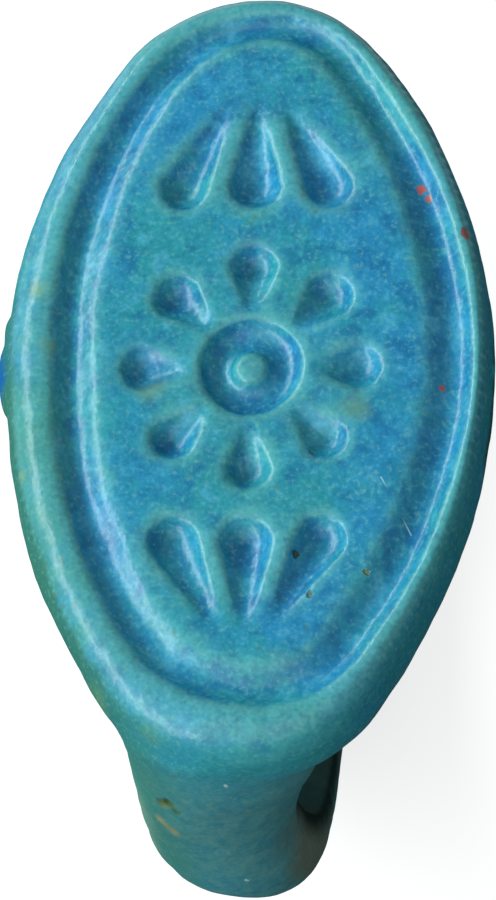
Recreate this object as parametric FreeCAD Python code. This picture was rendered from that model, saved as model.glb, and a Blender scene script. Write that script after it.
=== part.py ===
import FreeCAD, Part
import math
import os

from FreeCAD import Placement, Rotation, Vector

# A seal ring of glazed quartz paste.
# It was made from two pieces of wet paste, which a softer paste joined before the ring was fired:
#   bezel          a pointed oval plate, pressed in an open mould, with its device sunk into the face
#   shank          a flattened roll of paste, bent into a U round a rod
#   luting_upper   the soft paste that beds one end of the shank against the back of the bezel
#   luting_lower   the same at the other end
# Frame, in millimetres: the origin is the centre of the finger hole, on the shank's middle line.
# X runs along the finger, Y runs along the bezel towards its upper end, and Z points out of the face.

# Finger hole
hole_radius = 9.0                # the rod that the ring was bent round

# Bezel plate
bezel_right_width = 6.85         # from the line through its two ends to its waist, its widest place
bezel_left_width = 7.25          # the paste bulged more on this side
bezel_upper_reach = 11.75        # from the hole's centre to the upper end
bezel_lower_reach = 11.9
waist_height = 0.5               # the waist is this far above the hole's centre, towards the upper end
right_tip_radius = 4.3           # the outline's curve beside its ends, on the right
left_tip_radius = 5.15
bezel_offset = 1.5               # the plate's two ends stand to one side of the shank's middle line
face_height = 11.4               # above the hole's centre
back_height = 8.3
shoulder_share = 0.4             # the rim's outer edge rolls over in this share of the plate's thickness
back_edge = 0.5                  # the back's edge, pared off

# Sunk line round the device
rim_width = 0.7                  # from the plate's outline to the groove, at the sides
rim_width_upper = 0.55           # the mould was cut closer at this end
rim_width_lower = 1.0
rim_crest = 0.1                  # the rim's flat top, beside the groove
groove_shift = 0.55              # the mould's line stood to the right of the plate's middle
groove_width = 1.75
groove_depth = 0.46

# Device: a daisy between two open flowers
hollow_lift_share = 0.25         # how far a hollow's axis stands above the face, as a share of its radius
daisy_rise = 0.0                 # the daisy's centre, above the waist
daisy_petals = 8
daisy_eye_radius = 0.98          # from the centre to the middle of the hollow round the eye
daisy_eye_hollow = 0.5           # the radius of that hollow
daisy_petal_start = 1.6          # from the daisy's centre to a petal's pointed foot
daisy_petal_end = 3.85
daisy_petal_radius = 0.76        # at its round end
flower_foot_shares = (0.72, 0.69)  # where the flowers' feet stand, as shares of the upper and the lower reach
flower_petal_share = 0.31        # a petal's length, as a share of the reach
flower_petal_radius = 0.85
flower_leaf_share = 0.34         # the same for a leaf
flower_leaf_radius = 0.78
flower_leaf_foot = 0.65          # how far a leaf's foot stands from the middle line
flower_leaf_lean = 27.0          # degrees
hollow_foot_radius = 0.12        # the pointed foot of a petal or leaf

# Shank
shank_half_width = 2.3           # along the finger
shank_thickness = 2.45           # from the hole to the outside
shank_bite = 1.3                 # the roll's section reaches this far inside the hole before it is bored
shank_side_radius = 1.5          # the section's curve at its two sides
joint_height = 3.4               # the shank's two ends are this far above the hole's centre

# Luting paste
luting_half_width = 3.15         # where it meets the bezel's back
luting_shift = 0.7               # its middle there, beside the shank's middle line
luting_inner_spread = 1.7        # its inner side there stands this far inside the shank's
luting_outer_spread = 0.3        # its outer side there stands this far outside the shank's
luting_side_radius = 1.9         # its curve at the sides there
luting_waist_share = 0.45        # the paste is hollow between the shank and the bezel: at this share of its height
luting_flare_share = 0.65        # it has spread by this share
luting_smear = 0.5               # how far it was wiped up the plate's edge

# Making
overrun = 1.0                    # how far a cutting solid runs past what it cuts
shoulder_steps = 4               # the rolled edge is drawn through this many levels


def flank_radius(half_width, reach, tip):
    """The radius of the arc that joins a tip to the waist of an oval, tangent to both."""
    return (half_width ** 2 + (reach - tip) ** 2 - tip ** 2) / (2 * (half_width - tip))


def arc(centre, radius, start, end):
    """An arc in a plane that is square to Z, between two angles in degrees from +X."""
    return Part.ArcOfCircle(Part.Circle(centre, Vector(0, 0, 1), radius),
                            math.radians(start), math.radians(end)).toShape()


def oval_arcs(right, left, upper, lower, right_tip, left_tip):
    """A lopsided pointed oval of tangent arcs, as centre, radius and the two angles of each. Each quarter of it
    is a flank, which starts at the waist, and a tip, which reaches the end."""
    arcs = []
    for side, end, half_width, tip in ((1, 1, right, right_tip), (-1, 1, left, left_tip),
                                       (-1, -1, left, left_tip), (1, -1, right, right_tip)):
        reach = (upper if end == 1 else lower) - end * waist_height
        flank = flank_radius(half_width, reach, tip)
        turn = math.degrees(math.atan2(reach - tip, flank - half_width))
        quarter = [(Vector(side * (half_width - flank), waist_height, 0), flank, 0, turn),
                   (Vector(0, waist_height + end * (reach - tip), 0), tip, turn, 90)]
        if side == end:
            start = 0 if side == 1 else 180
            arcs += [(centre, radius, start + near, start + far) for centre, radius, near, far in quarter]
        else:
            start = 180 if end == 1 else 360
            arcs += [(centre, radius, start - far, start - near) for centre, radius, near, far in quarter[::-1]]
    return arcs


def oval_wire(oval, height):
    lift = Vector(0, 0, height)
    return Part.Wire([arc(centre + lift, radius, start, end) for centre, radius, start, end in oval_arcs(*oval)])


def inset_oval(side, at_upper, at_lower):
    """The sizes of an oval that runs inside the plate's outline."""
    return (bezel_right_width - side, bezel_left_width - side, bezel_upper_reach - at_upper,
            bezel_lower_reach - at_lower, right_tip_radius - side, left_tip_radius - side)


def finger_rod():
    length = 2 * (max(bezel_right_width, bezel_left_width) + bezel_offset + overrun)
    return Part.makeCylinder(hole_radius, length, Vector(-length / 2, 0, 0), Vector(1, 0, 0))


def groove_tool():
    """A round bar bent along the sunk line, so wide and deep that it leaves the line's two edges."""
    half = groove_width / 2
    radius = (half ** 2 + groove_depth ** 2) / (2 * groove_depth)
    lift = face_height + radius - groove_depth
    path = inset_oval(rim_width + half, rim_width_upper + half, rim_width_lower + half)
    bars = []
    for centre, bend, start, end in oval_arcs(*path):
        begin = Vector(math.cos(math.radians(start)), math.sin(math.radians(start)), 0)
        along = Vector(-begin.y, begin.x, 0)
        axis_point = centre + Vector(0, 0, lift)
        disc = Part.Face(Part.Wire(Part.Circle(axis_point + begin * bend, along, radius).toShape()))
        bars.append(disc.revolve(axis_point, Vector(0, 0, 1), end - start))
    return bars[0].fuse(bars[1:]).translated(Vector(groove_shift, 0, 0))


def petal_hollow(foot_x, foot_y, lean, length, radius):
    """The hollow of a petal, a cone that opens from its foot and ends in a ball tangent to it.
    It leans from +Y towards +X by lean degrees, and its axis rises with its width just above the face."""
    reach = length - radius
    slope = math.asin(radius / math.hypot(reach, hollow_foot_radius)) - math.atan2(hollow_foot_radius, reach)
    side = Vector(radius * math.cos(slope), reach - radius * math.sin(slope), 0)
    crown = Vector(radius * math.sin(math.pi / 4), reach + radius * math.cos(math.pi / 4), 0)
    foot_side = Vector(hollow_foot_radius, 0, 0)
    end = Vector(0, length, 0)
    outline = Part.Wire([Part.makeLine(Vector(0, 0, 0), foot_side), Part.makeLine(foot_side, side),
                         Part.Arc(side, crown, end).toShape(), Part.makeLine(end, Vector(0, 0, 0))])
    hollow = Part.Face(outline).revolve(Vector(0, 0, 0), Vector(0, 1, 0), 360)
    tilt = math.degrees(math.atan2((radius - hollow_foot_radius) * hollow_lift_share, reach))
    foot = Vector(foot_x, foot_y, face_height + hollow_foot_radius * hollow_lift_share)
    hollow.Placement = Placement(foot, Rotation(Vector(0, 0, 1), -lean).multiply(Rotation(Vector(1, 0, 0), tilt)))
    return hollow


def daisy_hollows():
    """A round hollow about a raised eye, and the petals."""
    hollows = [Part.makeTorus(daisy_eye_radius, daisy_eye_hollow, Vector(0, daisy_rise, face_height))]
    length = daisy_petal_end - daisy_petal_start
    for i in range(daisy_petals):
        angle = 360.0 * i / daisy_petals
        foot_x = daisy_petal_start * math.sin(math.radians(angle))
        foot_y = daisy_rise + daisy_petal_start * math.cos(math.radians(angle))
        hollows.append(petal_hollow(foot_x, foot_y, angle, length, daisy_petal_radius))
    return hollows


def flower_hollows(end, reach, foot_share):
    """A flower that opens from its foot, on the middle line, towards the daisy: a petal between two leaves."""
    foot = end * foot_share * reach
    inward = 180 if end == 1 else 0
    hollows = [petal_hollow(0, foot, inward, flower_petal_share * reach, flower_petal_radius)]
    for side in (1, -1):
        lean = inward - side * end * flower_leaf_lean
        hollows.append(petal_hollow(side * flower_leaf_foot, foot, lean, flower_leaf_share * reach,
                                    flower_leaf_radius))
    return hollows


def plate_ring(share, height):
    """An oval of the rolled edge: the plate's outline at share 0, and the rim's crest at share 1."""
    oval = inset_oval(share * (rim_width - rim_crest), share * (rim_width_upper - rim_crest),
                      share * (rim_width_lower - rim_crest))
    return oval_wire(oval, height).translated(Vector(share * groove_shift, 0, 0))


def make_blank():
    """The plate before it was pressed, with its edges rounded and its back bored."""
    spring = face_height - shoulder_share * (face_height - back_height)
    rings = [oval_wire(inset_oval(back_edge, back_edge, back_edge), back_height),
             plate_ring(0, back_height + back_edge), plate_ring(0, spring)]
    for k in range(1, shoulder_steps + 1):
        turn = math.pi / 2 * k / shoulder_steps
        rings.append(plate_ring(1 - math.cos(turn), spring + (face_height - spring) * math.sin(turn)))
    return Part.makeLoft(rings, True, True).translated(Vector(bezel_offset, 0, 0)).cut(finger_rod())


def make_bezel(blank):
    """The plate with a sunk line round a sunk device."""
    upper_share, lower_share = flower_foot_shares
    hollows = [groove_tool()] + daisy_hollows()
    hollows += flower_hollows(1, bezel_upper_reach, upper_share)
    hollows += flower_hollows(-1, bezel_lower_reach, lower_share)
    plate = blank
    for hollow in hollows:
        plate = plate.cut(hollow.translated(Vector(bezel_offset, 0, 0)))
    return plate.Solids[0]


def section(end, height, middle, half_width, inner, outer, side_radius):
    """A level section of an arm, at the upper (end 1) or the lower (end -1) end of the ring: a flattened round
    of four tangent arcs, from its inner to its outer distance from the middle of the ring."""
    half_depth = (outer - inner) / 2
    centre = Vector(middle, end * (outer + inner) / 2, height)
    crown = flank_radius(half_depth, half_width, side_radius)
    turn = math.degrees(math.atan2(half_width - side_radius, crown - half_depth))
    across = Vector(half_width - side_radius, 0, 0)
    along = Vector(0, crown - half_depth, 0)
    return Part.Wire([arc(centre + across, side_radius, turn - 90, 90 - turn),
                      arc(centre - along, crown, 90 - turn, 90 + turn),
                      arc(centre - across, side_radius, 90 + turn, 270 - turn),
                      arc(centre + along, crown, 270 - turn, 270 + turn)])


def shank_section(end, height):
    return section(end, height, 0, shank_half_width, hole_radius - shank_bite, hole_radius + shank_thickness,
                   shank_side_radius)


def make_shank():
    """The U of the shank: half a turn round the back, and two upright arms."""
    bend = Part.Face(shank_section(1, 0)).revolve(Vector(0, 0, 0), Vector(1, 0, 0), -180)
    arms = [Part.Face(shank_section(end, 0)).extrude(Vector(0, 0, joint_height)) for end in (1, -1)]
    return bend.fuse(arms).removeSplitter().cut(finger_rod()).Solids[0]


def make_luting(end, blank):
    """The paste between one end of the shank and the back of the bezel, wider where it meets the bezel."""
    shank_inner = hole_radius - shank_bite
    shank_outer = hole_radius + shank_thickness
    top = back_height + luting_smear
    wires = []
    for rise, flare in ((0, 0), (luting_waist_share, luting_flare_share), (1, 1)):
        wires.append(section(end, joint_height + (top - joint_height) * rise, luting_shift * flare,
                             shank_half_width + (luting_half_width - shank_half_width) * flare,
                             shank_inner - luting_inner_spread * flare,
                             shank_outer + luting_outer_spread * flare,
                             shank_side_radius + (luting_side_radius - shank_side_radius) * flare))
    paste = Part.makeLoft(wires, True, False).cut(finger_rod()).cut(blank)
    return max(paste.Solids, key=lambda lump: lump.Volume)


os.makedirs("parts", exist_ok=True)
blank = make_blank()
pieces = {
    "bezel": make_bezel(blank),
    "shank": make_shank(),
    "luting_upper": make_luting(1, blank),
    "luting_lower": make_luting(-1, blank),
}
for name, piece in pieces.items():
    box = piece.BoundBox
    print(name, len(piece.Solids), "solid, valid", piece.isValid(), "volume", round(piece.Volume, 1),
          "x", round(box.XMin, 2), round(box.XMax, 2), "y", round(box.YMin, 2), round(box.YMax, 2),
          "z", round(box.ZMin, 2), round(box.ZMax, 2))
    piece.exportStep("parts/" + name + ".step")
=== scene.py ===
# %% [markdown]
# A seal ring of glazed quartz paste.
# Ground quartz was kneaded with water and a little lime and ash into a stiff paste. The bezel was pressed in an
# open mould that left a sunk line and a sunk device in its face, the shank was bent round a rod, and soft paste
# luted the two together. In the fire the glaze ran over every joint, so the ring looks like one body, thick and
# deep blue in the hollows, thin and greenish on the ridges.
# The lesson makes the ring as its maker did, in millimetres, and turns it to metres at the end.

# %% Load the frame
import bpy, bmesh, math
import numpy as np
from mathutils import Matrix, Vector
from mathutils.bvhtree import BVHTree


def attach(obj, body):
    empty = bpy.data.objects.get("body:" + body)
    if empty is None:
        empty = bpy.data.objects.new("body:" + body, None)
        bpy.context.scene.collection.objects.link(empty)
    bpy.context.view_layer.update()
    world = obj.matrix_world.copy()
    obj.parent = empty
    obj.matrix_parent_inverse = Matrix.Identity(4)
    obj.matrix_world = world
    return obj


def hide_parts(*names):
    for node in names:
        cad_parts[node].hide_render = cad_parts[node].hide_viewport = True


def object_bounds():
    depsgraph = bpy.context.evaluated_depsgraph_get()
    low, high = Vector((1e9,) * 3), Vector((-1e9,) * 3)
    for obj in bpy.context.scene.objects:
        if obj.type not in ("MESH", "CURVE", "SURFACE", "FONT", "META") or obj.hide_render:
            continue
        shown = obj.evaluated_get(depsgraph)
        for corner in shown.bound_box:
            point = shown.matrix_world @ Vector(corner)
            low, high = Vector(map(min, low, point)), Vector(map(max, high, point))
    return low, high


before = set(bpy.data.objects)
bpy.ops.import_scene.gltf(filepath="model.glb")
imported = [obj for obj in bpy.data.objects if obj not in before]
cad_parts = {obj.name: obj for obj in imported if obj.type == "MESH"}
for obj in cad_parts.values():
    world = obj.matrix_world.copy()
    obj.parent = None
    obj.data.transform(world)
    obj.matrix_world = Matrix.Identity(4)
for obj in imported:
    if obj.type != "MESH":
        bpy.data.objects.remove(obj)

cad_box = [list(corner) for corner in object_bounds()]

# %% [markdown]
# The ring stands on its shank with the face up. The photograph looks down on the face, a little from the
# right and from well towards its lower end, so the lower arm of the shank shows. Its lines hardly run
# together, so the camera stands half a metre off with a long lens. It is set first, because every later
# choice is judged through it.

# %% Camera
yaw, pitch, roll = math.radians(6.57), math.radians(-21.1), math.radians(-1.64)
picture_height_px = 900
middle_px = (248, 450)                   # of the frame, which is 496 by 900 pixels
pixels_per_mm = 33.96
hole_centre_px = (240.1, 508.4)          # where the centre of the finger hole falls in it
sensor_mm = 36
camera_distance = 0.51

towards = Vector((math.sin(yaw) * math.cos(pitch), math.sin(pitch), math.cos(yaw) * math.cos(pitch)))
level = Vector((0, 1, 0)).cross(towards).normalized()
rise = towards.cross(level)
right = math.cos(roll) * level - math.sin(roll) * rise
up = math.sin(roll) * level + math.cos(roll) * rise
beside, above = middle_px[0] - hole_centre_px[0], hole_centre_px[1] - middle_px[1]
aim = (right * beside + up * above) / pixels_per_mm / 1000

camera = bpy.data.objects.new("camera", bpy.data.cameras.new("camera"))
bpy.context.scene.collection.objects.link(camera)
camera.data.sensor_width = sensor_mm
camera.data.lens = sensor_mm * camera_distance * 1000 / (picture_height_px / pixels_per_mm)
turn = Matrix((right, up, towards)).transposed().to_4x4()
camera.matrix_world = Matrix.Translation(aim + towards * camera_distance) @ turn
bpy.context.scene.camera = camera
print("camera at", [round(c, 3) for c in camera.location], "lens", round(camera.data.lens))

# %% [markdown]
# The plate is drawn from its outline inwards. Its outline is a pointed oval that isn't quite even: the
# paste bulged more on the left, and the widest place is a little above the middle. Each quarter is a flank
# and a tip, two arcs that touch. Any ring of points inside the outline, such as the edge of the sunk line,
# is the same oval with less width and shorter reaches, so one function draws them all.

# %% The oval
hole_radius = 9.0
right_width, left_width = 6.85, 7.25     # from the line through the plate's two ends to its waist
upper_reach, lower_reach = 11.75, 11.9
waist = 0.5                              # the waist is this far above the hole's centre
right_tip, left_tip = 4.3, 5.15
offset = 1.5                             # the plate's ends stand to one side of the shank's middle line
face, back = 11.4, 8.3                   # heights above the centre of the hole
arc_points = 30


def oval(side, at_upper, at_lower, height):
    """Points round an oval that runs inside the plate's outline by these widths, anticlockwise from +X."""
    points = []
    for right_side, end, width, tip in ((1, 1, right_width, right_tip), (-1, 1, left_width, left_tip),
                                        (-1, -1, left_width, left_tip), (1, -1, right_width, right_tip)):
        half, tip = width - side, tip - side
        reach = (upper_reach - at_upper if end == 1 else lower_reach - at_lower) - end * waist
        flank = (half ** 2 + (reach - tip) ** 2 - tip ** 2) / (2 * (half - tip))
        bend = math.atan2(reach - tip, flank - half)
        quarter = []
        for k in range(arc_points):
            angle = bend * k / arc_points
            quarter.append((half - flank + flank * math.cos(angle), flank * math.sin(angle)))
        for k in range(arc_points + 1):
            angle = bend + (math.pi / 2 - bend) * k / arc_points
            quarter.append((tip * math.cos(angle), reach - tip + tip * math.sin(angle)))
        quarter = [Vector((offset + right_side * x, waist + end * y, height)) for x, y in quarter]
        points += quarter[:-1] if right_side == end else quarter[:0:-1]
    return points


outline = oval(0, 0, 0, back)
print("outline", len(outline), "points")

# %% [markdown]
# Each ring of the plate is extruded from the one before and moved to its own oval, the way one would
# extrude and scale a loop by hand, from the middle of the back, over the edge and the rim, through the sunk
# line to the face. Nothing is kept sharp: the mould's corners were soft, and the glaze filled them again.

# %% Working in edit mode
def deselect():
    if bpy.context.object and bpy.context.object.mode != "OBJECT":
        bpy.ops.object.mode_set(mode="OBJECT")
    bpy.ops.object.select_all(action="DESELECT")


def pick(*objects):
    deselect()
    for each in objects:
        each.select_set(True)
    bpy.context.view_layer.objects.active = objects[0]


def apply_all(piece):
    pick(piece)
    for modifier in list(piece.modifiers):
        bpy.ops.object.modifier_apply(modifier=modifier.name)


deselect()
print("selected", len(bpy.context.selected_objects))

# %% [markdown]
# A sweep starts as a circle whose vertices are put on the first ring of points. It is filled, and its face
# is extruded again and again, so the faces behind it are the walls, and the last face closes the other end.

# %% Sweeps
def start_ring(name, points):
    """A circle whose vertices are moved to the points, left open in edit mode with all of it selected."""
    deselect()
    bpy.ops.mesh.primitive_circle_add(vertices=len(points), radius=1)
    piece = bpy.context.object
    piece.name = name
    for vertex, point in zip(piece.data.vertices, points):
        vertex.co = point
    bpy.ops.object.mode_set(mode="EDIT")
    bpy.ops.mesh.select_all(action="SELECT")
    return piece


def extrude_ring(piece, old, new):
    """Extrudes the selected loop, and moves each new vertex from its old point to its new one."""
    bpy.ops.mesh.extrude_region_move()
    mesh = bmesh.from_edit_mesh(piece.data)
    places = np.array([tuple(point) for point in old])
    for vertex in mesh.verts:
        if vertex.select:
            vertex.co = new[int(((places - np.array(vertex.co)) ** 2).sum(axis=1).argmin())]
    bmesh.update_edit_mesh(piece.data)
    return new


def sweep(name, rings):
    """A closed solid through rings of points, from the first one's face to the last one's."""
    piece = start_ring(name, rings[0])
    bpy.ops.mesh.edge_face_add()
    old = rings[0]
    for ring in rings[1:]:
        old = extrude_ring(piece, old, ring)
    bpy.ops.mesh.select_all(action="SELECT")
    bpy.ops.mesh.normals_make_consistent(inside=False)
    bpy.ops.object.mode_set(mode="OBJECT")
    return piece


print("sweeps ready")

# %% [markdown]
# The sunk line runs beside the rim all the way round, but the mould's maker cut it by eye. It lies a little
# to the right, leans back at the upper end and swells at the lower left.

# %% Rings of the sunk line
line_side, line_upper, line_lower = 1.48, 1.12, 1.93  # from the outline to the middle of the sunk line
line_out, line_in = 0.7, 0.95                         # from its middle to the rim's crest and to the field
line_depth = 0.46
line_shift = 0.55                                     # the mould's line lies to the right of the plate's middle
line_lean = 0.3                                       # but less so at the upper end
line_bulge = 0.25                                     # and it bulges to the left at the lower left
rim_rise = 0.04                                       # the rim stands a hair above the field


def sunk_ring(away, height):
    """A ring beside the middle of the sunk line: away is below 0 towards the rim, above 0 towards the field."""
    squeeze = 0.62 if away > 0 else 0.8               # the line is narrower at the upper end
    ring = oval(line_side + away, line_upper + away * squeeze, line_lower + away, height)
    for point in ring:
        on_left = min(max((offset - point.x) / 3, 0), 1)
        at_top, at_foot = min(max(point.y / 8, 0), 1), min(max(-point.y / 7, 0), 1)
        point.x += line_shift - line_lean * at_top - on_left * (0.05 + line_bulge * at_foot)
    return ring


ends = [point.y for point in sunk_ring(0, face - line_depth)]
print("sunk line from y", round(min(ends), 2), "to", round(max(ends), 2))

# %% [markdown]
# The plate is one sweep of ovals, from the soft edge of its back up the outer wall, over the rolled shoulder to
# the rim's crest, down into the sunk line and up to the field.

# %% The plate
# Each ring of the back's soft edge is its inset from the outline and its height above the back.
back_edge = ((3.0, 0), (0.75, 0), (0.3, 0.12), (0.08, 0.38), (0.0, 0.8), (-0.02, 1.3))
rings = [oval(inset, inset, inset, back + lift) for inset, lift in back_edge]
spring, crest = oval(0, 0, 0, 10.15), sunk_ring(-line_out, face + rim_rise)
for angle in range(0, 90, 12):                        # the shoulder is a quarter of an ellipse
    over, rise_share = 1 - math.cos(math.radians(angle)), math.sin(math.radians(angle))
    rings.append([Vector((low.x + (high.x - low.x) * over, low.y + (high.y - low.y) * over,
                          low.z + (high.z - low.z) * rise_share)) for low, high in zip(spring, crest)])
for step in range(13):
    share = step / 12 * 2 - 1                         # from the crest, -1, over the bottom, 0, to the field, 1
    reach = line_out if share < 0 else line_in
    fall = line_depth * (0.5 + 0.5 * math.cos(math.pi * share))
    lip = rim_rise * share ** 2 if share < 0 else 0.0
    rings.append(sunk_ring(share * reach, face - fall + lip))
plate = sweep("plate", rings)
print("plate", len(plate.data.polygons), "faces")

# %% [markdown]
# The device was cut into the mould in relief, so it is sunk here: a daisy between two open flowers. Each
# petal is the dent of a drop-shaped punch, round at its end and drawn out to a point at its foot, so the
# punch is a sphere with one half pulled out. The daisy's eye stands up inside the dent of a ring.

# %% Punches
def petal_punch(foot, lean, length, radius):
    """A drop that leans from +Y towards +X by lean degrees, its foot at a place on the face."""
    deselect()
    bpy.ops.mesh.primitive_uv_sphere_add(segments=32, ring_count=20, radius=radius)
    punch = bpy.context.object
    reach = length - radius
    for vertex in punch.data.vertices:
        along = -vertex.co.y / radius
        if along > 0:
            narrow = (1.02 - along) ** 0.85 / math.sqrt(1.02 - along ** 2)
            vertex.co = (vertex.co.x * narrow, -along * reach, vertex.co.z * narrow)
        vertex.co.y += reach
    punch.rotation_euler = (math.atan2(radius * 0.25, reach), 0, math.radians(-lean))
    punch.location = (offset + foot[0], foot[1], face + 0.03)
    return punch


punches = []
petals, petal_start, petal_length, petal_radius = 8, 1.6, 2.25, 0.76
for i in range(petals):
    turn = 2 * math.pi * i / petals
    foot = (petal_start * math.sin(turn), petal_start * math.cos(turn))
    punches.append(petal_punch(foot, 360 / petals * i, petal_length, petal_radius))
print("daisy", len(punches), "petals")

# %% [markdown]
# The two flowers open from their feet near the plate's ends towards the daisy, each a petal between two
# leaves.

# %% Flowers and eye
middle_share, middle_radius = 0.31, 0.85               # a length is this share of the plate's reach
leaf_share, leaf_radius, leaf_foot, leaf_lean = 0.34, 0.78, 0.65, 27
for end, reach, share in ((1, upper_reach, 0.72), (-1, lower_reach, 0.69)):
    foot, inward = end * share * reach, 180 if end == 1 else 0
    punches.append(petal_punch((0, foot), inward, middle_share * reach, middle_radius))
    for side in (1, -1):
        lean = inward - leaf_lean * side * end
        punches.append(petal_punch((leaf_foot * side, foot), lean, leaf_share * reach, leaf_radius))
deselect()
bpy.ops.mesh.primitive_torus_add(major_radius=0.98, minor_radius=0.5, major_segments=64, minor_segments=24,
                                 location=(offset, 0, face))
punches.append(bpy.context.object)
pick(*punches)
bpy.ops.object.transform_apply(location=True, rotation=True, scale=True)
bpy.ops.object.join()
punch = bpy.context.object
print("punches", len(punches), "joined", len(punch.data.polygons), "faces")


# %% [markdown]
# The punches are joined and pressed in at one go, with a Boolean that takes them out of the plate.

# %% Press the device
def subtract(piece, tool):
    cut = piece.modifiers.new("cut", "BOOLEAN")
    cut.operation = "DIFFERENCE"
    cut.solver = "EXACT"
    cut.object = tool
    apply_all(piece)


subtract(plate, punch)
bpy.data.objects.remove(punch)
print("pressed plate", len(plate.data.polygons), "faces")

# %% [markdown]
# The shank was a roll of paste pressed flat on its inside by the rod. It is one long sweep: up the upper
# arm, round the back and up the lower arm, wider and thicker where the luting paste was wiped out under the
# plate. The roll sags a little to one side, as the photograph shows.

# %% A section of the roll
section_points = 64
roll_inner, roll_outer = 7.7, 11.45                    # the rod bores the inside to the finger hole later
inner_spread, upper_spread, lower_spread = 1.7, 0.1, 0.5  # how far the luting stands out at its full flare
sag = 0.14
fullness = 0.9                                         # a power below 1 fills an ellipse out towards a box


def shank_ring(turn, height, half, shift, flare):
    """A section of the roll: turn is 0 on the upper arm and 180 on the lower one, height lifts it up the arm.
    It is half wide to each side of its middle, which is shifted along X, and flare thickens it."""
    inner = roll_inner - inner_spread * flare
    outer = roll_outer + (lower_spread if turn == 180 else upper_spread) * flare
    middle, depth = (inner + outer) / 2, (outer - inner) / 2
    tilt = sag * math.sin(math.radians(turn)) ** 0.5
    points = []
    for k in range(section_points):
        angle = 2 * math.pi * k / section_points
        across = half * math.copysign(abs(math.cos(angle)) ** fullness, math.cos(angle))
        out = middle + depth * math.copysign(abs(math.sin(angle)) ** fullness, math.sin(angle))
        out += tilt * across * max(0.0, math.sin(angle))
        points.append(Vector((shift + across, out * math.cos(math.radians(turn)),
                              height - out * math.sin(math.radians(turn)))))
    return points


print("section at the joint", len(shank_ring(0, 3.4, 2.5, 0, 0)), "points")

# %% [markdown]
# The arm's stations follow the opening that the photograph shows beside the shank, so they aren't evenly
# spread. The back of the hoop is half a turn of the same section.

# %% Shank and luting as one sweep
# Each station of an arm is its height, half width, shift and flare.
arm = ((9.9, 3.15, 0.68, 1.0), (8.3, 3.15, 0.68, 1.0), (7.1, 3.1, 0.62, 0.95), (6.2, 2.95, 0.46, 0.78),
       (5.3, 2.75, 0.26, 0.56), (4.4, 2.6, 0.1, 0.38), (3.6, 2.5, -0.01, 0.24), (2.5, 2.39, -0.13, 0.08),
       (1.2, 2.27, -0.25, 0.0))
rings = [shank_ring(0, height, half, shift, flare) for height, half, shift, flare in arm]
for turn in range(0, 181, 5):
    swing = math.sin(math.radians(turn))
    rings.append(shank_ring(turn, 0, 2.22 + 0.03 * swing, -0.25 + 0.28 * min(1, swing / 0.35), 0))
rings += [shank_ring(180, height, half, shift, flare) for height, half, shift, flare in reversed(arm)]
hoop = sweep("hoop", rings)
print("hoop", len(hoop.data.polygons), "faces")

# %% [markdown]
# The rod that the ring was bent round leaves a true cylinder, and it takes a shallow arch out of the
# plate's back.

# %% Bore the finger hole
deselect()
bpy.ops.mesh.primitive_cylinder_add(vertices=256, radius=hole_radius, depth=30, rotation=(0, math.pi / 2, 0))
rod = bpy.context.object
pick(rod)
bpy.ops.object.transform_apply(rotation=True)
for piece in (plate, hoop):
    subtract(piece, rod)
bpy.data.objects.remove(rod)
print("bored", len(plate.data.polygons), len(hoop.data.polygons))

# %% [markdown]
# Lumps stand on the plate's edge: on the left a run of glaze that froze as a drop with a thin tail, on the
# right a grain of grit. Then all of it becomes one skin. A voxel remesh does what the fire did: it joins
# whatever touches.

# %% Lumps on the edge
lumps = []
for centre, size in (((-5.74, 0.35, 9.7), (0.26, 1.1, 0.8)),    # the drop
                     ((8.3, 0.35, 9.9), (0.16, 0.34, 0.3)),     # the grain of grit
                     ((-5.75, 1.5, 9.6), (0.12, 0.8, 0.6))):    # the drop's tail
    deselect()
    bpy.ops.mesh.primitive_uv_sphere_add(segments=32, ring_count=20, radius=1, location=centre, scale=size)
    lumps.append(bpy.context.object)
pick(*lumps)
bpy.ops.object.transform_apply(location=True, rotation=True, scale=True)
print("lumps", len(lumps))

# %% [markdown]
# Plate, hoop and lumps become one skin, as the wet paste did when it was wiped.

# %% One skin
pick(plate, hoop, *lumps)
bpy.ops.object.join()
whole = bpy.context.object
whole.name = "whole"
fine_voxel = 0.094
voxel = fine_voxel
remesh = whole.modifiers.new("skin", "REMESH")
remesh.mode = "VOXEL"
remesh.voxel_size = voxel
apply_all(whole)
print("skin", len(whole.data.vertices), "vertices")

# %% [markdown]
# The skin is still as crisp as its stations. Glaze rounds every edge over about a fifth of a millimetre,
# and the luting was wiped with a wet finger, which left a broad soft fillet under the plate. Smoothing does
# both: a few passes everywhere, and many more in a vertex group round each luting.

# %% Soften
def smooth_step(low, high, value):
    share = np.clip((value - low) / (high - low), 0, 1)
    return share * share * (3 - 2 * share)


def positions(piece):
    flat = np.empty(len(piece.data.vertices) * 3)
    piece.data.vertices.foreach_get("co", flat)
    return flat.reshape(-1, 3)


def weigh(piece, name, weights):
    group = piece.vertex_groups.new(name=name)
    for level in range(1, 11):
        members = np.flatnonzero(np.round(weights * 10) == level)
        group.add(members.tolist(), level / 10, "REPLACE")
    return name


place = positions(whole)
near_arm = smooth_step(4.9, 3.6, np.abs(place[:, 0] - 0.5)) * smooth_step(4.6, 5.6, np.abs(place[:, 1]))
wiped = near_arm * smooth_step(5.6, 7.0, place[:, 2]) * smooth_step(11.3, 10.0, place[:, 2])
pressed = smooth_step(10.7, 10.95, place[:, 2])
passes = (fine_voxel / voxel) ** 2         # a coarse skin needs fewer passes for the same softness
for name, count, group in (("glaze", 8, ""), ("pressing", 24, weigh(whole, "pressed", pressed)),
                           ("wiping", 110, weigh(whole, "wiped", wiped))):
    soften = whole.modifiers.new(name, "SMOOTH")
    soften.factor = 0.5
    soften.iterations = max(1, round(count * passes))
    soften.vertex_group = group
apply_all(whole)
print("wiped vertices", int((wiped > 0.05).sum()))

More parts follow.
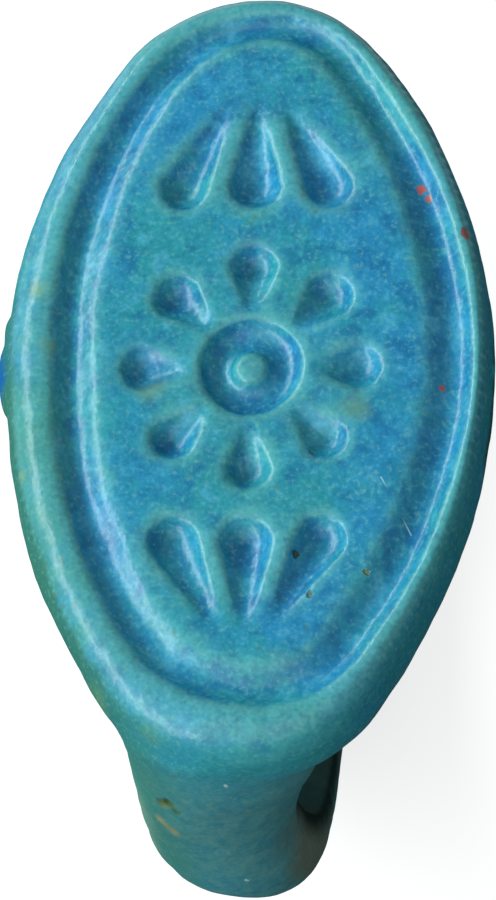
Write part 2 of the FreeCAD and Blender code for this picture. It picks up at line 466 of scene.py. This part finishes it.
# %% [markdown]
# No two places on a hand-made ring are alike. Clouds of three sizes push the skin in and out: broad swells
# a tenth of a millimetre high, dents the size of a fingertip's ridges, and a fine unevenness under the
# glaze.

# %% Hand-made unevenness
for name, scale, strength in (("swell", 4.5, 0.2), ("dent", 1.4, 0.07), ("ripple", 0.5, 0.018)):
    clouds = bpy.data.textures.new(name, "CLOUDS")
    clouds.noise_scale = scale
    clouds.noise_depth = 1
    uneven = whole.modifiers.new(name, "DISPLACE")
    uneven.texture = clouds
    uneven.texture_coords = "LOCAL"
    uneven.strength = strength
    uneven.mid_level = 0.5
apply_all(whole)
pick(whole)
bpy.ops.object.shade_smooth()
place = positions(whole)
print("box in mm", place.min(axis=0).round(2), place.max(axis=0).round(2))

# %% [markdown]
# Molten glaze runs off ridges and gathers in hollows. How much lies at a place is told by its neighbours:
# where their average stands above it, it is in a hollow, and where they stand below, on a ridge. This is
# measured over a short and a long distance and kept as attributes that the material reads.

# %% How the glaze gathered
def spread(values, ends, passes):
    """Averages each vertex with its neighbours, again and again."""
    count = np.bincount(ends.ravel(), minlength=len(values))[:, None]
    for _ in range(passes):
        total = np.stack([np.bincount(ends[:, 0], values[ends[:, 1], k], len(values)) +
                          np.bincount(ends[:, 1], values[ends[:, 0], k], len(values))
                          for k in range(values.shape[1])], axis=1)
        values = 0.5 * values + 0.5 * total / np.maximum(count, 1)
    return values


def keep_attribute(piece, name, values):
    layer = piece.data.attributes.new(name, "FLOAT", "POINT")
    layer.data.foreach_set("value", np.ascontiguousarray(values, dtype=np.float32))


ends = np.empty(len(whole.data.edges) * 2, dtype=np.int32)
whole.data.edges.foreach_get("vertices", ends)
ends = ends.reshape(-1, 2)
outward = np.empty(len(place) * 3)
whole.data.vertices.foreach_get("normal", outward)
outward = outward.reshape(-1, 3)
near = spread(place, ends, round(14 * passes))         # over about half a millimetre
far = spread(near, ends, round(110 * passes))          # and over about one and a half
near_rise = ((near - place) * outward).sum(axis=1)
far_rise = ((far - place) * outward).sum(axis=1)
keep_attribute(whole, "fine_hollow", np.clip(near_rise / 0.02, -1, 1))
keep_attribute(whole, "broad_hollow", np.clip(far_rise / 0.12, -1, 1))
print("fine", np.percentile(near_rise, (2, 50, 98)).round(3))
print("broad", np.percentile(far_rise, (2, 50, 98)).round(3))

# %% [markdown]
# Two more attributes are kept. One is how deep a place lies below the face, up to half a millimetre. The
# other marks the plate's upright outer wall, by its distance from the outline seen from above.

# %% Depth and outer wall
on_top = smooth_step(10.3, 10.6, place[:, 2])
keep_attribute(whole, "depth", on_top * np.clip(face - 0.05 - place[:, 2], 0, 0.5) / 0.5)
gap = np.full(len(place), 9.0)
for point in outline:
    gap = np.minimum(gap, np.hypot(place[:, 0] - point.x, place[:, 1] - point.y))
keep_attribute(whole, "edge", smooth_step(0.36, 0.16, gap) * smooth_step(9.0, 9.4, place[:, 2]))
print("on the outer wall", int((gap < 0.36).sum()), "vertices")

# %% [markdown]
# The ring is one skin, but it was made of four pieces, and they are kept apart. Each piece is a copy of the
# skin cut by level planes, with the cuts filled, so it is a closed solid. The glaze hides the joints on the
# real ring, so each piece takes its surface directions from the whole skin, and no seam shows in the shine.

# %% Four pieces
def cut_piece(name, cuts, keep_side):
    """A copy of the skin between level cuts, each (height, keep above), on one side of the ring if asked."""
    pick(whole)
    bpy.ops.object.duplicate()
    piece = bpy.context.object
    piece.name = piece.data.name = name
    bpy.ops.object.mode_set(mode="EDIT")
    for height, keep_above in cuts:
        bpy.ops.mesh.select_all(action="SELECT")
        bpy.ops.mesh.bisect(plane_co=(0, 0, height), plane_no=(0, 0, 1), use_fill=True,
                            clear_inner=keep_above, clear_outer=not keep_above)
    if keep_side:
        bpy.ops.mesh.select_all(action="DESELECT")
        mesh = bmesh.from_edit_mesh(piece.data)
        for vertex in mesh.verts:
            vertex.select_set(vertex.co.y * keep_side < 0)
        mesh.select_flush(True)
        bmesh.update_edit_mesh(piece.data)
        bpy.ops.mesh.delete(type="VERT")
    bpy.ops.object.mode_set(mode="OBJECT")
    return piece


joint, seat = 3.4, 8.12                                # the upper cut is just under the plate's back
between = [(joint, True), (seat, False)]
pieces = [(cut_piece(node + "_glazed", cuts, side), node, slot) for node, cuts, side, slot in (
    ("bezel", [(seat, True)], 0, "glazed_bezel"), ("luting_upper", between, 1, "glazed_shank"),
    ("luting_lower", between, -1, "glazed_shank"), ("shank", [(joint, False)], 0, "glazed_shank"))]
print("cut", [piece.name for piece, _, _ in pieces])

# %% [markdown]
# The cut edges would show as seams, because a cut changes the smooth directions beside it. So each piece
# copies its directions from the whole skin. Each is counted too, with its open edges and volume.

# %% Seamless shine
for piece, _, _ in pieces:
    shine = piece.modifiers.new("directions", "DATA_TRANSFER")
    shine.object = whole
    shine.use_loop_data = True
    shine.data_types_loops = {"CUSTOM_NORMAL"}
    shine.loop_mapping = "POLYINTERP_NEAREST"
    apply_all(piece)
    mesh = bmesh.new()
    mesh.from_mesh(piece.data)
    open_edges = sum(1 for edge in mesh.edges if not edge.is_manifold)
    triangles = sum(len(polygon.vertices) - 2 for polygon in piece.data.polygons)
    volume = round(mesh.calc_volume(signed=True))
    print(piece.name, triangles, "triangles", open_edges, "open edges", volume, "cubic millimetres")
    mesh.free()
skin = BVHTree.FromObject(whole, bpy.context.evaluated_depsgraph_get())    # to find places on it later
bpy.data.objects.remove(whole)

# %% [markdown]
# The frame is in metres, so the finished pieces are made a thousand times smaller, with the size applied.

# %% To metres
pick(*[piece for piece, _, _ in pieces])
for piece, _, _ in pieces:
    piece.scale = (0.001, 0.001, 0.001)
bpy.ops.object.transform_apply(location=True, rotation=True, scale=True)
print("scaled", [tuple(round(side * 1000, 2) for side in piece.dimensions) for piece, _, _ in pieces])

# %% [markdown]
# Quartz paste is white and grainy. Its glaze is an alkaline glass coloured by copper, full of tiny bubbles
# and unmelted quartz. Where it is thin the pale body and a greenish cast show through, and where it lies
# thick it is deep blue. The surface is glossy but never mirror-smooth, so a clear coat lies over a slightly
# rougher body. The colours are written as sRGB hex values, because that is how a colour picker shows them,
# and the shader wants them linear.

# %% Colours and nodes
def colour(hex_value):
    parts = [int(hex_value[i:i + 2], 16) / 255 for i in (0, 2, 4)]
    return tuple(c / 12.92 if c <= 0.04045 else ((c + 0.055) / 1.055) ** 2.4 for c in parts) + (1.0,)


def add_node(tree, kind, settings=None, **links):
    """Adds a node. Settings are its properties, and each link is an input's name with a value or a socket."""
    node = tree.nodes.new("ShaderNode" + kind)
    for name, value in (settings or {}).items():
        setattr(node, name, value)
    for name, value in links.items():
        socket = node.inputs[int(name[1:])] if name[1:].isdigit() else node.inputs[name.replace("_", " ")]
        if isinstance(value, bpy.types.NodeSocket):
            tree.links.new(value, socket)
        else:
            socket.default_value = value
    return node


def per_mm(size):
    """The scale of a pattern whose features are this many millimetres apart, on coordinates in metres."""
    return 1000.0 / size


glaze = bpy.data.materials.new("copper_blue_alkaline_glaze_on_quartz_paste")
glaze.use_nodes = True
tree = glaze.node_tree
tree.nodes.clear()
print("glaze material started")

# %% [markdown]
# First the places. Object coordinates are in metres and don't change with the view. They are pushed about a
# little by a coarse noise, so that no stain or tide line has a clean edge. Every value that is known of a
# place is kept by its name: how far along each axis it lies, how hollow and how deep it is, and how far it
# is from the axis of the hole.

# %% Places on the ring
here = add_node(tree, "TexCoord").outputs["Object"]
wander = add_node(tree, "TexNoise", Vector=here, Scale=per_mm(1.6), Detail=3.0, Roughness=0.6)
push = add_node(tree, "VectorMath", {"operation": "MULTIPLY_ADD"}, _0=wander.outputs["Color"],
                _1=(0.0008, 0.0008, 0.0008), _2=(-0.0004, -0.0004, -0.0004))
astray = add_node(tree, "VectorMath", {"operation": "ADD"}, _0=here, _1=push.outputs[0]).outputs[0]
upright = add_node(tree, "VectorMath", {"operation": "MULTIPLY"}, _0=here, _1=(1, 1, 0.45)).outputs[0]
across_hole = add_node(tree, "VectorMath", {"operation": "MULTIPLY"}, _0=astray, _1=(0, 1, 1)).outputs[0]
split = add_node(tree, "SeparateXYZ", Vector=astray)
known = {"all": 1.0, "sideways": split.outputs["X"], "lengthways": split.outputs["Y"],
         "height": split.outputs["Z"],
         "from axis": add_node(tree, "VectorMath", {"operation": "LENGTH"}, _0=across_hole).outputs["Value"]}
for name in ("fine_hollow", "broad_hollow", "depth", "edge"):
    known[name] = add_node(tree, "Attribute", {"attribute_name": name}).outputs["Fac"]
print("known of a place", list(known))

# %% [markdown]
# Then the clouds. Each is a noise with a real size in millimetres, from the drift of the whole colour down
# to single grains. The finest quartz is under a tenth of a millimetre and wouldn't show, so the grain is
# drawn as coarse as it needs to. Unmelted grains and bubbles sit in cells of a Voronoi texture, one to a
# cell.

# %% Clouds and cells
for name, size, detail, roughness, place in (
        ("mottle", 3.4, 4.0, 0.6, here), ("patches", 0.95, 5.0, 0.66, astray),
        ("flecks", 0.26, 3.0, 0.65, here), ("runs", 2.3, 3.0, 0.55, here),
        ("streaks", 0.32, 3.0, 0.7, upright), ("grain", 0.13, 1.0, 0.5, here),
        ("copper green", 0.13, 2.0, 0.6, here), ("grain drift", 2.4, 2.0, 0.55, here),
        ("bubble drift", 3.0, 2.0, 0.55, here), ("orange peel", 0.6, 2.0, 0.55, here),
        ("grit", 0.16, 2.0, 0.6, here), ("dulling", 0.9, 3.0, 0.55, here)):
    known[name] = add_node(tree, "TexNoise", Vector=place, Scale=per_mm(size), Detail=detail,
                           Roughness=roughness).outputs["Fac"]
for name, spacing in (("grain cells", 0.5), ("bubble cells", 0.7)):
    known[name] = add_node(tree, "TexVoronoi", Vector=here, Scale=per_mm(spacing),
                           Randomness=1.0).outputs["Distance"]
print("nodes", len(tree.nodes))

# %% [markdown]
# Two steps make the whole colour. One works out where something shows: it takes one known value, or a
# weighted sum of some, and steps softly between two limits. The other lays coats of colour over one
# another, each only where all its masks say so, the way a glaze builds up.

# %% Masks and coats
def find_where(rows):
    """Keeps a mask for each row of name, value or weighted values, and limits with the share at each."""
    for name, source, limits in rows:
        if isinstance(source, str):
            total = known[source]
        else:
            total = 0.0
            for term, weight in source.items():
                total = add_node(tree, "Math", {"operation": "MULTIPLY_ADD"}, _0=known[term], _1=weight,
                                 _2=total).outputs[0]
        if limits:
            low, high, at_low, at_high = (*limits, 0.0, 1.0)[:4]
            total = add_node(tree, "MapRange", {"interpolation_type": "SMOOTHSTEP"}, Value=total, From_Min=low,
                             From_Max=high, To_Min=at_low, To_Max=at_high).outputs["Result"]
        known[name] = total


def lay_coats(body, rows):
    """Lays a coat for each row of colour, strength and the names of the masks where it shows."""
    for hex_value, strength, masks in rows:
        share = strength
        for name in masks:
            share = add_node(tree, "Math", {"operation": "MULTIPLY"}, _0=known[name], _1=share).outputs[0]
        body = add_node(tree, "Mix", {"data_type": "RGBA"}, Factor=share, _6=body,
                        _7=colour(hex_value)).outputs[2]
    return body


find_where([("drift", "mottle", (0.36, 0.64)), ("on face", "height", (0.0099, 0.011, 0.1, 1.0))])
print("nodes", len(tree.nodes))

# %% [markdown]
# The glaze's body colour is a turquoise that drifts between bluer and greener over a few millimetres. Where
# the glaze gathered it deepens to blue. On the ridges it is thin, and the greenish pale body shows.

# %% Body colour
find_where([
    ("deep patch", "patches", (0.46, 0.66, 0.0, 0.7)), ("pale patch", "patches", (0.46, 0.32, 0.0, 0.5)),
    ("broad pool", "broad_hollow", (0.1, 0.9)), ("fine pool", "fine_hollow", (0.05, 0.9)),
    ("pool", {"depth": 0.15, "broad pool": 0.18, "fine pool": 0.15, "patches": 1.3}, (0.75, 1.75, 0.0, 0.7)),
    ("fine ridge", "fine_hollow", (-0.15, -0.95)), ("broad ridge", "broad_hollow", (-0.25, -1.0)),
    ("thin", {"fine ridge": 0.6, "broad ridge": 0.5}, ()),
    ("pale fleck", "flecks", (0.48, 0.75, 0.0, 0.26)), ("dark fleck", "flecks", (0.5, 0.28, 0.0, 0.28))])
body = lay_coats(colour("1b7fa8"), [
    ("228a94", 1.0, ["drift"]), ("045f8c", 1.0, ["deep patch", "on face"]), ("47a0c0", 1.0, ["pale patch"]),
    ("05679c", 1.0, ["pool", "on face"]), ("4f9f9a", 0.6, ["thin"]),
    ("5fb0bd", 1.0, ["pale fleck"]), ("0c5c78", 1.0, ["dark fleck"])])
print("body colour", len(tree.nodes), "nodes")

# %% [markdown]
# Below the plate's edge the glaze is thin and grey, with blue runs and upright streaks, as it ran down the
# arms. The plate's outer wall is a duller green. Copper salts stained the left side green, and there the
# outer wall is also painted darker, which is painted shade.
# The lower arm's left edge is painted paler, which is painted light on its side towards the strip light, and
# its right side, which lay away from the heat, is brownish.

# %% Shank and walls
find_where([
    ("low", "height", (0.0103, 0.007)), ("run", "runs", (0.48, 0.64)),
    ("pale streak", "streaks", (0.5, 0.66)), ("dark streak", "streaks", (0.5, 0.34)),
    ("under rim", "height", (0.0112, 0.0107)), ("not hollow", "broad_hollow", (0.2, -0.05)),
    ("on left", {"sideways": 1.0, "lengthways": 0.3}, (-0.0036, -0.006)),
    ("stain", "mottle", (0.35, 0.6, 0.35, 0.7)),
    ("arm", "height", (0.0065, 0.003)), ("left edge", "sideways", (-0.0017, -0.0026)),
    ("hoop", "height", (0.003, -0.001)), ("right side", "sideways", (0.0013, 0.0021)),
    ("lower arm", "lengthways", (-0.006, -0.009, 0.3, 0.8))])
rolled = add_node(tree, "Math", {"operation": "MULTIPLY"}, _0=known["under rim"], _1=known["not hollow"])
known["outer wall"] = add_node(tree, "Math", {"operation": "MAXIMUM"}, _0=rolled.outputs[0],
                               _1=known["edge"]).outputs[0]
body = lay_coats(body, [
    ("628887", 0.82, ["low"]), ("2c7494", 0.55, ["low", "run"]),
    ("7b9b88", 0.45, ["low", "pale streak"]), ("1f6480", 0.45, ["low", "dark streak"]),
    ("338288", 0.55, ["outer wall"]), ("3b8474", 1.0, ["on left", "stain"]),
    # 2d5d4c darkens the left outer wall: painted shade.
    # 73907f lightens the arm's left edge: painted light.
    ("2d5d4c", 0.75, ["on left", "outer wall"]), ("73907f", 0.6, ["arm", "left edge"]),
    ("6a705a", 1.0, ["hoop", "right side", "lower arm"])])
print("shank and walls", len(tree.nodes), "nodes")

# %% [markdown]
# Grains of quartz that didn't melt show as pale specks a tenth of a millimetre across, and bubbles as dark
# ones. The inside of the hole hardly took any glaze: it lay against the rod's ash and is dull. It is also
# painted nearly black, which is painted shade in the hole. It is the part of the ring nearer to the hole's
# axis than its surface elsewhere.

# %% Grains, bubbles and the inside
find_where([
    ("off shank", {"all": 1.0, "low": -0.6}, ()), ("pale grain", "grain", (0.5, 0.8, 0.0, 0.11)),
    ("dark grain", "grain", (0.5, 0.22, 0.0, 0.16)), ("green grain", "copper green", (0.57, 0.75, 0.0, 0.3)),
    ("unmelted", "grain cells", (0.16, 0.064, 0.0, 0.1)), ("among grains", "grain drift", (0.45, 0.65)),
    ("bubble", "bubble cells", (0.16, 0.064, 0.0, 0.6)), ("among bubbles", "bubble drift", (0.5, 0.7)),
    ("bare_painted_shade", "from axis", (0.0101, 0.0091))])
body = lay_coats(body, [
    ("7cc0c8", 1.0, ["pale grain", "off shank"]), ("0e5874", 1.0, ["dark grain", "off shank"]),
    ("6f9a63", 1.0, ["green grain"]), ("a5d2cc", 1.0, ["unmelted", "among grains"]),
    # 162523 paints the inside of the hole nearly black: painted shade over a dull, bare surface.
    ("566644", 1.0, ["bubble", "among bubbles"]), ("162523", 0.96, ["bare_painted_shade"])])
print("grains and inside", len(tree.nodes), "nodes")

# %% [markdown]
# Single marks are placed where they are seen. A ray is sent from the camera through a place in the frame,
# and where it meets the skin is the mark's centre. The mark itself belongs to the ring, so it stays put in
# any view. Its edge wanders with a fine noise.

# %% Places of single marks
def at_pixel(x, y):
    """The place on the ring, in metres, that the camera sees at a pixel of the frame."""
    start = (aim + towards * camera_distance) * 1000
    pixel = aim * 1000 + (right * (x - middle_px[0]) + up * (middle_px[1] - y)) / pixels_per_mm
    return tuple(skin.ray_cast(start, (pixel - start).normalized())[0] / 1000)


jitter = add_node(tree, "TexNoise", Vector=here, Scale=per_mm(0.28), Detail=2.0)
jog = add_node(tree, "VectorMath", {"operation": "MULTIPLY_ADD"}, _0=jitter.outputs["Color"],
               _1=(0.0003, 0.0003, 0.0003), _2=(-0.00015, -0.00015, -0.00015))
near_astray = add_node(tree, "VectorMath", {"operation": "ADD"}, _0=here, _1=jog.outputs[0]).outputs[0]
print("the frame's middle shows", [round(side * 1000, 2) for side in at_pixel(*middle_px)], "mm")

# %% [markdown]
# Iron from the clay of the kiln left a few brick-red spots, and burial left ochre stains in pits. Each is a
# ball of influence round its place, stretched where the surface is seen aslant. The upright walls are seen
# so flatly that the balls there are drawn out along Z.

# %% Spots and stains
def mark(body, centre, radius, hex_value, strength=1.0, stretch=(1, 1, 1), start=0.6):
    """A spot of colour round a place, this many millimetres in radius and full up to a share of that."""
    place = near_astray if radius < 0.25 else astray
    beside = add_node(tree, "VectorMath", {"operation": "SUBTRACT"}, _0=place, _1=centre)
    scaled = add_node(tree, "VectorMath", {"operation": "DIVIDE"}, _0=beside.outputs[0], _1=stretch)
    away = add_node(tree, "VectorMath", {"operation": "LENGTH"}, _0=scaled.outputs[0])
    known["from mark"] = away.outputs["Value"]
    find_where([("spot", "from mark", (radius * 0.00115, radius * 0.001 * start, 0.0, strength))])
    return lay_coats(body, [(hex_value, 1.0, ["spot"])])


pits = []
for x, y, radius, hex_value, strength, is_pit in (     # iron spots, then pits, then pale grains
        (421, 190, 0.16, "b4503c", 0.9, False), (429, 199, 0.12, "a9563f", 0.8, False),
        (465, 231, 0.15, "7c3a3c", 0.85, False), (466, 236, 0.12, "8a3f38", 0.85, False),
        (442, 388, 0.11, "b0503f", 0.85, False), (296, 554, 0.13, "3a3d22", 0.95, True),
        (367, 571, 0.12, "7d7a3c", 0.8, True), (310, 452, 0.08, "4b5a45", 0.7, True),
        (311, 594, 0.09, "4b5a45", 0.7, True), (226, 786, 0.07, "b6d4d0", 0.6, False),
        (247, 880, 0.07, "c0dad4", 0.6, False)):
    on_arm = y > 740
    body = mark(body, at_pixel(x, y), radius, hex_value, strength, (1, 1, 2.2) if on_arm else (1, 1, 1))
    if is_pit:
        pits.append(known["spot"])
for x, y, radius, strength in (                        # green stains
        (356, 408, 0.6, 0.45), (148, 388, 0.6, 0.4), (38, 290, 0.4, 0.5), (50, 345, 0.4, 0.35),
        (22, 478, 0.3, 0.5), (100, 700, 0.7, 0.3), (150, 735, 0.6, 0.2)):
    body = mark(body, at_pixel(x, y), radius, "6f9457", strength, start=0.1)
print("spots", len(tree.nodes), "nodes")

# %% [markdown]
# Long marks are drawn along a line between two places: a scratch, a crescent pit and a smear of clay.

# %% Strokes
def stroke(body, first, last, width, hex_value, strength):
    """A thin line of colour between two places, this many millimetres wide."""
    along = Vector(last) - Vector(first)
    beside = add_node(tree, "VectorMath", {"operation": "SUBTRACT"}, _0=here, _1=first)
    share = add_node(tree, "VectorMath", {"operation": "DOT_PRODUCT"}, _0=beside.outputs[0],
                     _1=tuple(along / along.length_squared))
    share = add_node(tree, "Clamp", Value=share.outputs["Value"])
    reached = add_node(tree, "VectorMath", {"operation": "SCALE"}, _0=tuple(along), Scale=share.outputs[0])
    aside = add_node(tree, "VectorMath", {"operation": "SUBTRACT"}, _0=beside.outputs[0], _1=reached.outputs[0])
    flat = add_node(tree, "VectorMath", {"operation": "MULTIPLY"}, _0=aside.outputs[0], _1=(1, 1, 0.4))
    away = add_node(tree, "VectorMath", {"operation": "LENGTH"}, _0=flat.outputs[0])
    known["from line"] = away.outputs["Value"]
    find_where([("line", "from line", (width * 0.0008, width * 0.0001, 0.0, strength))])
    return lay_coats(body, [(hex_value, 1.0, ["line"])])


for first, last, width, hex_value, strength, is_pit in (
        ((381, 477), (411, 535), 0.045, "a9d3dd", 0.6, False),    # a scratch
        ((161, 803), (169, 804), 0.3, "5f6631", 0.85, True),      # a crescent pit, in two strokes
        ((169, 804), (177, 812), 0.24, "48643f", 0.8, True),
        ((161, 821), (174, 831), 0.34, "93875a", 0.6, False)):    # a smear of clay
    body = stroke(body, at_pixel(*first), at_pixel(*last), width, hex_value, strength)
    if is_pit:
        pits.append(known["line"])
body = mark(body, (-0.0059, 0.0004, 0.0097), 1.15, "0b4f93", 0.85, (0.6, 1.0, 0.9))    # the frozen drop
print("marks", len(tree.nodes), "nodes")

# %% [markdown]
# The shine is in two layers. The body is rough from the grains and has no shine of its own, and the clear
# glass over it is smoother, thick on the face and nearly gone from the walls and the shank. The bump is
# three things: the soft orange-peel of a glaze that ran and stopped, the grains, and the pits.

# %% Surface and relief
find_where([
    ("relief", {"orange peel": 0.00004, "grit": 0.000006}, ()),
    ("dulled", "dulling", (0.3, 0.75, 0.42, 0.58)), ("roughness", {"dulled": 1.0, "bare_painted_shade": 0.3}, ()),
    ("glassy face", "height", (0.0101, 0.0107, 0.02, 0.8)),
    ("off wall", {"all": 1.0, "outer wall": -0.97}, ())])
relief = known["relief"]
for pit in pits:
    relief = add_node(tree, "Math", {"operation": "MULTIPLY_ADD"}, _0=pit, _1=-0.00008, _2=relief).outputs[0]
bump = add_node(tree, "Bump", Strength=1.0, Distance=1.0, Height=relief)
clear_glass = add_node(tree, "Math", {"operation": "MULTIPLY"}, _0=known["glassy face"], _1=known["off wall"])
shader = add_node(tree, "BsdfPrincipled", Base_Color=body, Roughness=known["roughness"], IOR=1.5, Metallic=0.0,
                  Specular_IOR_Level=0.0, Normal=bump.outputs[0], Coat_Weight=clear_glass.outputs[0],
                  Coat_Roughness=0.31, Coat_IOR=1.5, Coat_Normal=bump.outputs[0], Subsurface_Weight=0.12,
                  Subsurface_Radius=(0.4, 1.0, 1.1), Subsurface_Scale=0.0005)
add_node(tree, "OutputMaterial", Surface=shader.outputs[0])
print("glaze", len(tree.nodes), "nodes")

# %% [markdown]
# Every piece wears the same glaze, because it was one glaze. Each rides on the frame's only body and stands
# for the node of its own name.

# %% Hang the pieces on the frame
for piece, node, slot in pieces:
    piece.data.materials.clear()
    piece.data.materials.append(glaze)
    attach(piece, "root")
    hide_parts(node)
print("pieces", [piece.name for piece, _, _ in pieces])

# %% [markdown]
# The ring stands on a plain pale floor in a studio. One long strip light hangs on the left, low enough that
# only walls facing it flash, and it draws the thin bright lines along the rim and the sunk line. The rest
# is a soft even fill. For the camera the floor and the backdrop are white, and the floor still takes the
# ring's shadow.

# %% Floor
deselect()
bpy.ops.mesh.primitive_grid_add(x_subdivisions=8, y_subdivisions=8, size=1.6, location=(0, 0, 0))
floor = bpy.context.object
floor.name = "floor"
floor.location.z = cad_box[0][2] - 0.00002
paper = bpy.data.materials.new("white_paper_sweep")
paper.use_nodes = True
paper_tree = paper.node_tree
paper_tree.nodes.clear()
matt = add_node(paper_tree, "BsdfDiffuse", Color=colour("a8a8a6"), Roughness=0.5)
lift = add_node(paper_tree, "Emission", Color=(1, 1, 1, 1), Strength=0.72)
both = add_node(paper_tree, "AddShader", _0=matt.outputs[0], _1=lift.outputs[0])
grey = add_node(paper_tree, "BsdfDiffuse", Color=colour("5a5a58"), Roughness=0.5)
ray = add_node(paper_tree, "LightPath")
sharp = add_node(paper_tree, "Math", {"operation": "MAXIMUM"}, _0=ray.outputs["Is Glossy Ray"],
                 _1=ray.outputs["Is Transmission Ray"])
plain = add_node(paper_tree, "Math", {"operation": "MAXIMUM"}, _0=ray.outputs["Is Camera Ray"],
                 _1=sharp.outputs[0])
seen = add_node(paper_tree, "MixShader", _0=plain.outputs[0], _1=grey.outputs[0],
                _2=both.outputs[0])
add_node(paper_tree, "OutputMaterial", Surface=seen.outputs[0])
floor.data.materials.append(paper)
print("floor at", round(floor.location.z * 1000, 2), "mm")

# %% [markdown]
# The room gives a dim even light, slightly blue, which keeps the shaded side from going black.

# %% World
world = bpy.data.worlds.new("studio")
bpy.context.scene.world = world
world.use_nodes = True
world_tree = world.node_tree
world_tree.nodes.clear()
fill = add_node(world_tree, "Background", Color=(0.86, 0.93, 1.0, 1), Strength=0.35)
add_node(world_tree, "OutputWorld", Surface=fill.outputs[0])
print("world fill", fill.inputs["Strength"].default_value)


# %% [markdown]
# A lamp is given by where it hangs, how large it is and how bright its face is, because that is what its
# reflection in the glaze shows. The watts follow from the size.

# %% Lamps
def softbox(name, direction, distance, width, height, radiance, tint):
    """A rectangular lamp that faces the ring. Its strength is given as the brightness of its face, where 1 is
    white, and turned to watts."""
    lamp = bpy.data.lights.new(name, "AREA")
    lamp.shape = "RECTANGLE"
    lamp.size, lamp.size_y = width, height
    lamp.energy = radiance * math.pi * width * height
    lamp.color = tint
    holder = bpy.data.objects.new(name, lamp)
    bpy.context.scene.collection.objects.link(holder)
    back_axis = Vector(direction).normalized()
    side_axis = Vector((0, 1, 0)).cross(back_axis).normalized()
    holder.matrix_world = Matrix.Translation(back_axis * distance) @ Matrix(
        (side_axis, back_axis.cross(side_axis), back_axis)).transposed().to_4x4()


softbox("strip", direction=(-0.845, -0.05, 0.535), distance=0.5, width=0.11, height=1.4, radiance=12.5,
        tint=(0.88, 0.98, 1.0))
softbox("fill", direction=(-0.1, -0.6, 0.8), distance=0.9, width=1.0, height=0.9, radiance=1.2,
        tint=(1.0, 1.0, 1.0))
print("lamps", [lamp.name for lamp in bpy.data.lights])

# %% [markdown]
# Last, colours are shown as they are.

# %% View
bpy.context.scene.view_settings.view_transform = "Standard"
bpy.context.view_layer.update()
